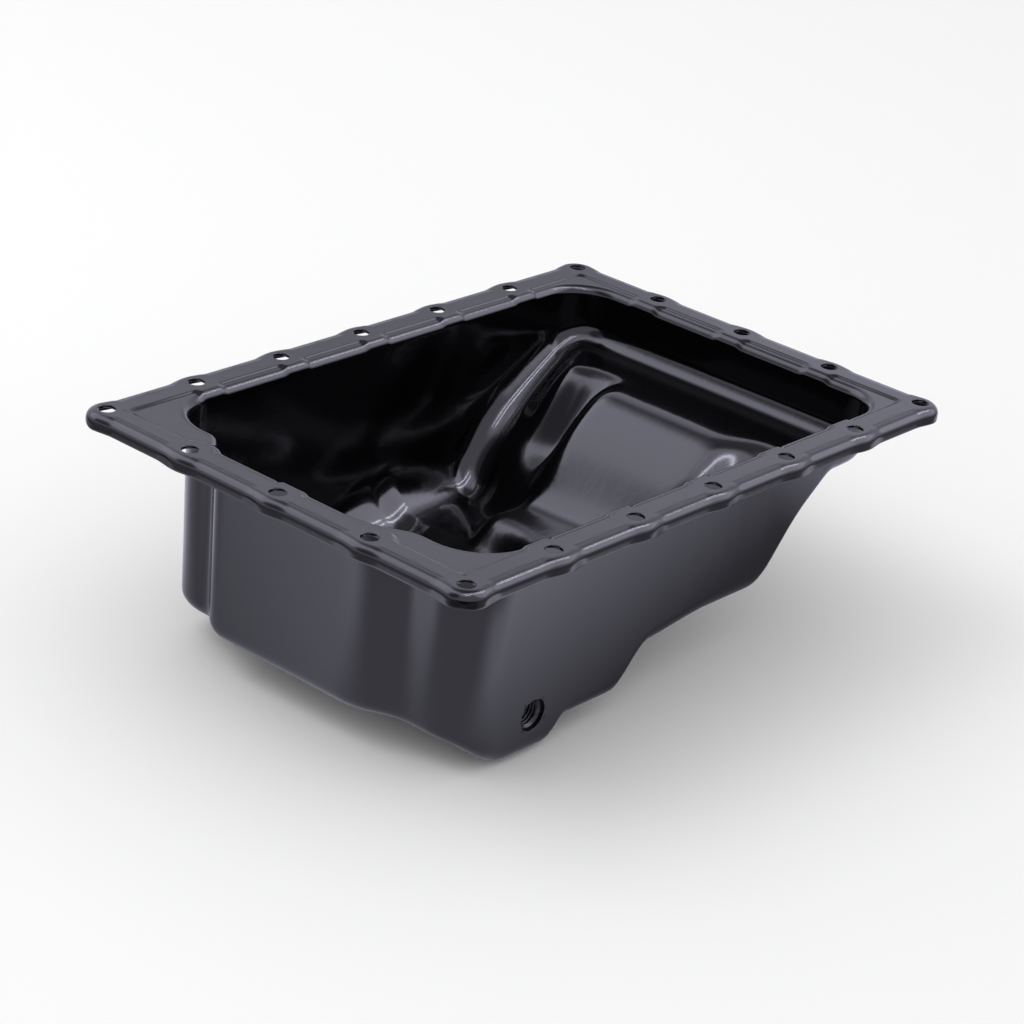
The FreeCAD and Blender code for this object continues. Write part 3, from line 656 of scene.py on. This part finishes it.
def rim_rows(s):
    """The lip's section all round: over the outer bend, down, round the lower edge, up inside and under
    the flange. Bends are arcs, out = R sin a and down = R - R cos a. Between the pads the bend starts
    further in."""
    place, normal, pad = rim_stations(s)
    face = place + normal * (pad * s.pad_out)[:, None]
    wide = s.lip_bend + BEND_SPREAD * (1 - pad)
    drop = s.lip_drop + (s.far_lip_drop - s.lip_drop) * ease(normal[:, 1])
    bend_rows, face_rows, edge_rows, inside_rows, under_rows = LIP_ROWS
    rows = []
    top = flange_height(*(face - normal * wide[:, None]).T, s)
    for a in np.linspace(0, math.pi / 2, bend_rows):
        out = -wide + wide * math.sin(a)
        height = top * math.cos(a) - s.lip_bend * (1 - math.cos(a))
        rows.append((face + normal * out[:, None], height))
    low = LIP_EDGE - drop
    for share in np.linspace(0, 1, face_rows)[1:]:
        rows.append((face, -s.lip_bend + (low + s.lip_bend) * share))
    for a in np.linspace(0, math.pi, edge_rows)[1:-1]:
        out = -s.sheet / 2 + s.sheet / 2 * math.cos(a)
        rows.append((face + normal * out, low - LIP_EDGE * math.sin(a)))
    for share in np.linspace(0, 1, inside_rows):
        rows.append((face - normal * s.sheet, low - (low + s.lip_bend) * share))
    for a in np.linspace(math.pi / 2, 0, under_rows)[1:]:
        out = -wide + (wide - s.sheet) * math.sin(a)
        height = -s.sheet - (s.lip_bend - s.sheet) * (1 - math.cos(a))
        rows.append((face + normal * out[:, None], np.full(len(face), height)))
    return np.stack([np.column_stack([xy, z]) for xy, z in rows], axis=1)


def flange_cells(s, rim):
    """Polar patches of the flange, one round each bolt hole: from the flange's edges in to the hole on
    top, down the hole's wall over small rounded edges, and back out underneath. Rays run straight from
    hole to border."""
    start = rim[:, 0, :2]
    radius = s.hole / 2
    points, faces, count = [], [], 0
    for hole in hole_centres():
        border = cell_border(hole, start)
        away = border - hole
        angle = np.arctan2(away[:, 1], away[:, 0])
        order = np.argsort(angle)
        border, angle = border[order], angle[order]
        circle = np.column_stack([np.cos(angle), np.sin(angle)])
        rows = []
        ring = hole + circle * (radius + HOLE_EDGE)
        for share in np.linspace(1, 0, PAD_ROWS) ** PAD_CROWDING:
            xy = ring + (border - ring) * share
            rows.append((xy, flange_height(*xy.T, s)))
        for a in np.linspace(0, math.pi / 2, HOLE_EDGE_ROWS)[1:]:
            xy = hole + circle * (radius + HOLE_EDGE * (1 - math.sin(a)))
            rows.append((xy, np.full(len(xy), -HOLE_EDGE * (1 - math.cos(a)))))
        for a in np.linspace(math.pi / 2, 0, HOLE_EDGE_ROWS):
            xy = hole + circle * (radius + HOLE_UNDER_EDGE * (1 - math.sin(a)))
            rows.append((xy, np.full(len(xy), -s.sheet + HOLE_UNDER_EDGE * (1 - math.cos(a)))))
        ring = hole + circle * (radius + HOLE_UNDER_EDGE)
        for share in np.linspace(0, 1, UNDER_ROWS)[1:]:
            rows.append((ring + (border - ring) * share, np.full(len(ring), -s.sheet)))
        patch = np.stack([np.column_stack([xy, z]) for xy, z in rows], axis=1)
        stations, across = patch.shape[:2]
        points.append(patch.reshape(-1, 3))
        faces.append(quads(stations, across, count))
        count += stations * across
    return np.concatenate(points), np.concatenate(faces)


def cell_border(hole, start):
    """Border of a hole's patch, as points: the lip's bend outside it, the sealing band's inner line, and
    the two cuts halfway to the next holes."""
    half = PITCH / 2
    hx, hy = hole
    sx, sy = np.sign(hx), np.sign(hy)
    inner_x, inner_y = HALF_X - SEAL_IN_X, HALF_Y - SEAL_IN_Y
    on_end, on_long = abs(abs(hx) - HALF_X) < 1, abs(abs(hy) - HALF_Y) < 1
    if on_end and on_long:
        outer = start[(start[:, 0] * sx > HALF_X - half) & (start[:, 1] * sy > HALF_Y - half)]
        near = np.array([sx * inner_x, sy * inner_y])
        turn = [np.array([hx - sx * half, sy * inner_y]), np.array([sx * inner_x, hy - sy * half])]
        run = np.linspace(0, 1, (BORDER_POINTS + 1) // 2)
        inner = [near + (turn[0] - near) * f for f in run] + [near + (turn[1] - near) * f for f in run[1:]]
        reach = [np.array([hx - sx * half, outer_line(start, hx - sx * half, sy, 0)]),
                 np.array([outer_line(start, hy - sy * half, sx, 1), hy - sy * half])]
        cuts = [turn[k] + (reach[k] - turn[k]) * f for k in (0, 1) for f in np.linspace(0, 1, CUT_POINTS)[1:]]
        return np.concatenate([outer, np.array(inner), np.array(cuts)])
    axis = 0 if on_long else 1
    side = sy if on_long else sx
    middle = hole[axis]
    inner_line = (inner_y if on_long else inner_x) * side
    on_side = start[:, 1 - axis] * side > (HALF_Y if on_long else HALF_X) - 1
    points = [start[on_side & (np.abs(start[:, axis] - middle) < half)]]
    line = np.zeros((BORDER_POINTS, 2))
    line[:, axis] = np.linspace(-half, half, BORDER_POINTS) + middle
    line[:, 1 - axis] = inner_line
    points.append(line)
    for end in (-half, half):
        far = outer_line(start, middle + end, side, axis)
        cut = np.zeros((CUT_POINTS - 1, 2))
        cut[:, axis] = middle + end
        cut[:, 1 - axis] = np.linspace(inner_line, far, CUT_POINTS)[1:]
        points.append(cut)
    return np.concatenate(points)


def outer_line(start, at, side, axis):
    """Where the lip's bend starts at a place along one side of the flange, read off its stations."""
    limit = (HALF_Y if axis == 0 else HALF_X) - 1
    line = start[start[:, 1 - axis] * side > limit]
    line = line[np.argsort(line[:, axis])]
    return float(np.interp(at, line[:, axis], line[:, 1 - axis]))


class OILPAN_OT_flange(bpy.types.Operator):
    """Builds the flange with its bolt holes, pads and sunk lands, and the lip turned down round it"""

    bl_idname = "oilpan.flange"
    bl_label = "Bolt Flange"

    def execute(self, context):
        fresh("flange")
        s = in_mm(context.scene.pan_sizes)
        paint = gloss_black_paint(context.scene.pan_colours)
        rim = rim_rows(s)
        stations, rows = rim.shape[:2]
        points, faces = flange_cells(s, rim)
        rim_faces = quads(stations, rows, len(points))[:, ::-1]
        piece = mesh_piece("flange", np.concatenate([points, rim.reshape(-1, 3)]), [faces, rim_faces], paint)
        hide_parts("oil_pan")
        return {"FINISHED"}


def turned(turn, radius, height):
    """Points (stations, rows, 3) turned about the drain's axis: foot + spoke times radius + axis times
    height, where the spoke is cos turn sideways + sin turn upward."""
    foot, axis, side, up = drain_frame()
    spoke = np.cos(turn)[:, None, None] * side + np.sin(turn)[:, None, None] * up
    return foot + spoke * radius[..., None] + axis * height[..., None]


def drain_edge_section(s):
    """Radii and heights of the punched hole's edge: a collar on the outside of the wall, a rounding of
    radius R, R - R sin a out and R - R cos a up, and the hole's wall."""
    a = np.linspace(0, math.pi / 2, DRAIN_EDGE_ROWS)
    hole, outside = s.drain_hole / 2, -s.sheet - DRAIN_PROUD
    radius = [[hole + DRAIN_COLLAR], hole + DRAIN_EDGE_R - DRAIN_EDGE_R * np.sin(a), [hole, hole]]
    height = [[-s.sheet - DRAIN_PROUD / 2], outside + DRAIN_EDGE_R * (1 - np.cos(a))]
    height.append([DRAIN_WALL_AT, DRAIN_WALL_END])
    return [np.tile(np.concatenate(rows), (DRAIN_PARTS, 1)) for rows in (radius, height)]


def nut_section(n, turn):
    """Radii, heights and wear of the weld nut: up its bore and back round its outside. The thread runs
    from the bore's radius out to its own over straight flanks, by the phase z / pitch - turn / 2 pi."""
    bore, major, outer = n.bore / 2, n.thread / 2, n.outside / 2
    top = n.height - NUT_MOUTH
    z = np.linspace(NUT_MOUTH, top, THREAD_ROWS)
    phase = (z[None, :] / n.pitch - turn[:, None] / (2 * math.pi)) % 1.0
    crest = 1 - 2 * np.abs(phase - 0.5)
    fade = ease(np.minimum(z - NUT_MOUTH, top - z) / THREAD_FADE)
    groove = bore + (major - bore) * np.clip(THREAD_STEEP * crest - THREAD_FLAT, 0, 1) * fade
    mouth = [major + NUT_MOUTH_OUT, major + 2 * NUT_MOUTH_OUT]
    shell_r = [bore, *mouth, outer - n.chamfer, outer, outer, outer - n.chamfer, *mouth[::-1], bore]
    shell_z = [top, n.height, n.height, n.height, n.height - n.chamfer, n.chamfer, 0, 0, 0, NUT_MOUTH]
    radius = np.concatenate([groove, np.tile(shell_r, (DRAIN_PARTS, 1))], axis=1)
    height = np.concatenate([np.tile(z, (DRAIN_PARTS, 1)), np.tile(shell_z, (DRAIN_PARTS, 1))], axis=1)
    wear = ease(1 - (groove - bore) / CREST_WEAR)
    return radius, height, np.concatenate([wear, np.zeros((DRAIN_PARTS, len(shell_r)))], axis=1)


class OILPAN_OT_drain(bpy.types.Operator):
    """Builds the edge of the drain hole and the threaded weld nut behind it"""

    bl_idname = "oilpan.drain"
    bl_label = "Drain"

    def execute(self, context):
        fresh("drain_edge")
        fresh("weld_nut")
        colours = context.scene.pan_colours
        turn = np.linspace(0, 2 * math.pi, DRAIN_PARTS, endpoint=False)
        radius, height = drain_edge_section(in_mm(context.scene.pan_sizes))
        ring = turned(turn, radius, height)
        edge = mesh_piece("drain_edge", ring.reshape(-1, 3), [quads(*radius.shape)[:, ::-1]],
                          gloss_black_paint(colours))
        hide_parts("oil_pan")
        radius, height, worn = nut_section(in_mm(context.scene.nut_sizes), turn)
        body = turned(turn, radius, height)
        nut = mesh_piece("weld_nut", body.reshape(-1, 3), [quads(*radius.shape)],
                         coated_thread_steel(colours))
        crest = nut.data.attributes.new("crest", "FLOAT", "POINT")
        crest.data.foreach_set("value", worn.ravel().astype(np.float32))
        nut.data.set_sharp_from_angle(angle=math.radians(NUT_CREASE))
        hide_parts("drain_nut")
        return {"FINISHED"}


def matt_floor(colours):
    """Pale matt studio floor. What the coat mirrors of it is painted light, an emission that stands in for
    the lit floor: brighter away from the pan and to its left, with the pan's shadow painted darker in front
    of the drain wall, darker towards the camera, and dim where the painted light ends."""
    material = emptied(bpy.data.materials, "matt studio floor")
    tree = material.node_tree
    place = node(tree, "TexCoord").outputs["Object"]
    across = node(tree, "SeparateXYZ", [("Vector", place)]).outputs
    levels = []
    for way, near, far, low, high in PAINTED_FLOOR_LIGHT:
        reach = node(tree, "VectorMath", [(0, place)], operation="DOT_PRODUCT", i_1=way)
        level = node(tree, "MapRange", [("Value", reach.outputs["Value"])], i_From_Min=near,
                     i_From_Max=far, i_To_Min=low, i_To_Max=high)
        levels.append(level.outputs[0])
    front, left, back, right = levels
    for side in (back, right):
        front = node(tree, "Math", [(0, front), (1, side)], operation="MAXIMUM").outputs[0]
    leftward = node(tree, "MapRange", [("Value", across["Y"])], interpolation_type="SMOOTHSTEP",
                    i_From_Min=LEFT_FROM, i_From_Max=LEFT_TO)
    beside = node(tree, "Mix", [("Factor", leftward.outputs[0]), (3, left)], i_2=CORNER_LEVEL)
    forward = node(tree, "MapRange", [("Value", across["X"])], interpolation_type="SMOOTHSTEP",
                   i_From_Min=FRONT_FROM, i_From_Max=FRONT_TO)
    painted_glow = node(tree, "Mix", [("Factor", forward.outputs[0]), (2, beside.outputs[0]), (3, front)])
    for axis, near, far in PAINTED_LIGHT_ENDS:
        level = node(tree, "MapRange", [("Value", across[axis])], i_From_Min=near, i_From_Max=far,
                     i_To_Min=END_LOW, i_To_Max=END_HIGH)
        painted_glow = node(tree, "Math", [(0, painted_glow.outputs[0]), (1, level.outputs[0])], operation="MULTIPLY")
    matt = node(tree, "BsdfPrincipled", i_Base_Color=(*colours.floor, 1.0), i_Roughness=0.9,
                i_Specular_IOR_Level=0.1)
    # Painted light: for the coat's mirror rays the floor glows, and the pan's shadow is painted into that
    # glow
    mirrored = node(tree, "Emission", [("Strength", painted_glow.outputs[0])], i_Color=(*colours.light, 1.0))
    seen = node(tree, "LightPath").outputs["Is Glossy Ray"]
    both = node(tree, "MixShader", [("Fac", seen), (1, matt.outputs[0]), (2, mirrored.outputs[0])])
    node(tree, "OutputMaterial", [("Surface", both.outputs[0])])
    return material


def soft_surroundings(colours):
    """White surroundings. What the coat mirrors of them is a little cool, and has soft panels and dark
    flags in it. In the mirror image of a mirror image they are dimmed, because inside the pan,
    where one wall mirrors another, the photograph is darker than the gloss of the coat alone makes it."""
    world = emptied(bpy.data.worlds, "studio")
    tree = world.node_tree
    way = node(tree, "TexCoord").outputs["Generated"]
    path = node(tree, "LightPath").outputs
    level = node(tree, "MapRange", [("Value", path["Ray Depth"])], i_From_Min=2.0, i_From_Max=3.0,
                 i_To_Min=FIRST_IMAGE, i_To_Max=SECOND_IMAGE)
    for toward, edge, full, gain in SKY:
        reach = node(tree, "VectorMath", [(0, way)], operation="DOT_PRODUCT", i_1=toward)
        part = node(tree, "MapRange", [("Value", reach.outputs["Value"])],
                    interpolation_type="SMOOTHSTEP", i_From_Min=edge, i_From_Max=full, i_To_Min=1.0,
                    i_To_Max=gain)
        level = node(tree, "Math", [(0, level.outputs[0]), (1, part.outputs[0])], operation="MULTIPLY")
    seen = node(tree, "Math", [(0, path["Is Camera Ray"]), (1, path["Is Transmission Ray"])],
                operation="MAXIMUM")
    fill = node(tree, "Background", i_Color=(1.0, 1.0, 1.0, 1.0), i_Strength=FILL_LEVEL)
    mirrored = node(tree, "Background", [("Strength", level.outputs[0])], i_Color=(*colours.light, 1.0))
    white = node(tree, "Background", i_Color=(1.0, 1.0, 1.0, 1.0), i_Strength=1.0)
    first = node(tree, "MixShader", [("Fac", path["Is Glossy Ray"]), (1, fill.outputs[0]),
                 (2, mirrored.outputs[0])])
    both = node(tree, "MixShader", [("Fac", seen.outputs[0]), (1, first.outputs[0]),
                (2, white.outputs[0])])
    node(tree, "OutputWorld", [("Surface", both.outputs[0])])
    return world


def place_floor(scene):
    """One wide flat sheet a hair under the pan's lowest point."""
    fresh("floor")
    level = CAD_BOX[0][2] * 1000 - FLOOR_GAP
    corners = ((-1, -1), (1, -1), (1, 1), (-1, 1))
    grid = np.array([(x * FLOOR_HALF, y * FLOOR_HALF, level) for x, y in corners])
    mesh = bpy.data.meshes.new("floor")
    mesh.from_pydata((grid / 1000).tolist(), [], [(0, 1, 2, 3)])
    mesh.materials.append(matt_floor(scene.pan_colours))
    floor = bpy.data.objects.new("floor", mesh)
    scene.collection.objects.link(floor)


def place_lamps(scene):
    """The soft lamp over the pan, seen by matt surfaces only, and the long tubes, seen in the coat only."""
    for name, spot, aim, wide, deep, radiance, mirrored in LAMPS:
        fresh(name)
        data = bpy.data.lights.new(name, "AREA")
        data.shape = "RECTANGLE"
        data.size, data.size_y = wide, deep
        data.energy = radiance * wide * deep * math.pi
        data.color = scene.pan_colours.light if mirrored else (1.0, 1.0, 1.0)
        lamp = bpy.data.objects.new(name, data)
        lamp.location = spot
        lamp.visible_glossy = mirrored
        lamp.visible_diffuse = not mirrored
        lamp.rotation_euler = (Vector(aim) - Vector(spot)).to_track_quat("-Z", "Y").to_euler()
        scene.collection.objects.link(lamp)


def place_camera(scene):
    """The camera of the photograph."""
    fresh("camera")
    data = bpy.data.cameras.new("camera")
    data.sensor_width = SENSOR_MM
    data.lens = FOCAL_PX * SENSOR_MM / FRAME_PX
    data.clip_end = CLIP_END
    camera = bpy.data.objects.new("camera", data)
    turn = Matrix((RIGHT, [-c for c in DOWN], [-c for c in AHEAD])).transposed()
    camera.matrix_world = Matrix.Translation(Vector(EYE) / 1000) @ turn.to_4x4()
    scene.collection.objects.link(camera)
    scene.camera = camera


class OILPAN_OT_studio(bpy.types.Operator):
    """Builds the pale floor, the soft lamps, the white surroundings and the camera"""

    bl_idname = "oilpan.studio"
    bl_label = "Studio"

    def execute(self, context):
        scene = context.scene
        scene.view_settings.view_transform = "Standard"
        scene.world = soft_surroundings(scene.pan_colours)
        place_floor(scene)
        place_lamps(scene)
        place_camera(scene)
        return {"FINISHED"}


class OILPAN_PT_panel(bpy.types.Panel):
    """Sizes, colours and pieces of the oil pan"""

    bl_label = "Oil Pan"
    bl_idname = "OILPAN_PT_panel"
    bl_space_type = "VIEW_3D"
    bl_region_type = "UI"
    bl_category = "Oil Pan"

    def draw(self, context):
        for owner in (context.scene.pan_sizes, context.scene.nut_sizes, context.scene.pan_colours):
            box = self.layout.box()
            for key in owner.__annotations__:
                box.prop(owner, key)
        for operator in OPERATORS:
            self.layout.operator(operator.bl_idname)


OPERATORS = (OILPAN_OT_bowl, OILPAN_OT_flange, OILPAN_OT_drain, OILPAN_OT_studio)
CLASSES = (PanSizes, NutSizes, FinishColours) + OPERATORS + (OILPAN_PT_panel,)


def register():
    for kind in CLASSES:
        bpy.utils.register_class(kind)
    bpy.types.Scene.pan_sizes = PointerProperty(type=PanSizes)
    bpy.types.Scene.nut_sizes = PointerProperty(type=NutSizes)
    bpy.types.Scene.pan_colours = PointerProperty(type=FinishColours)


def unregister():
    for name in ("pan_sizes", "nut_sizes", "pan_colours"):
        delattr(bpy.types.Scene, name)
    for kind in reversed(CLASSES):
        bpy.utils.unregister_class(kind)


def main():
    register()
    for operator in OPERATORS:
        group, name = operator.bl_idname.split(".")
        getattr(getattr(bpy.ops, group), name)()


if __name__ == "__main__":
    main()
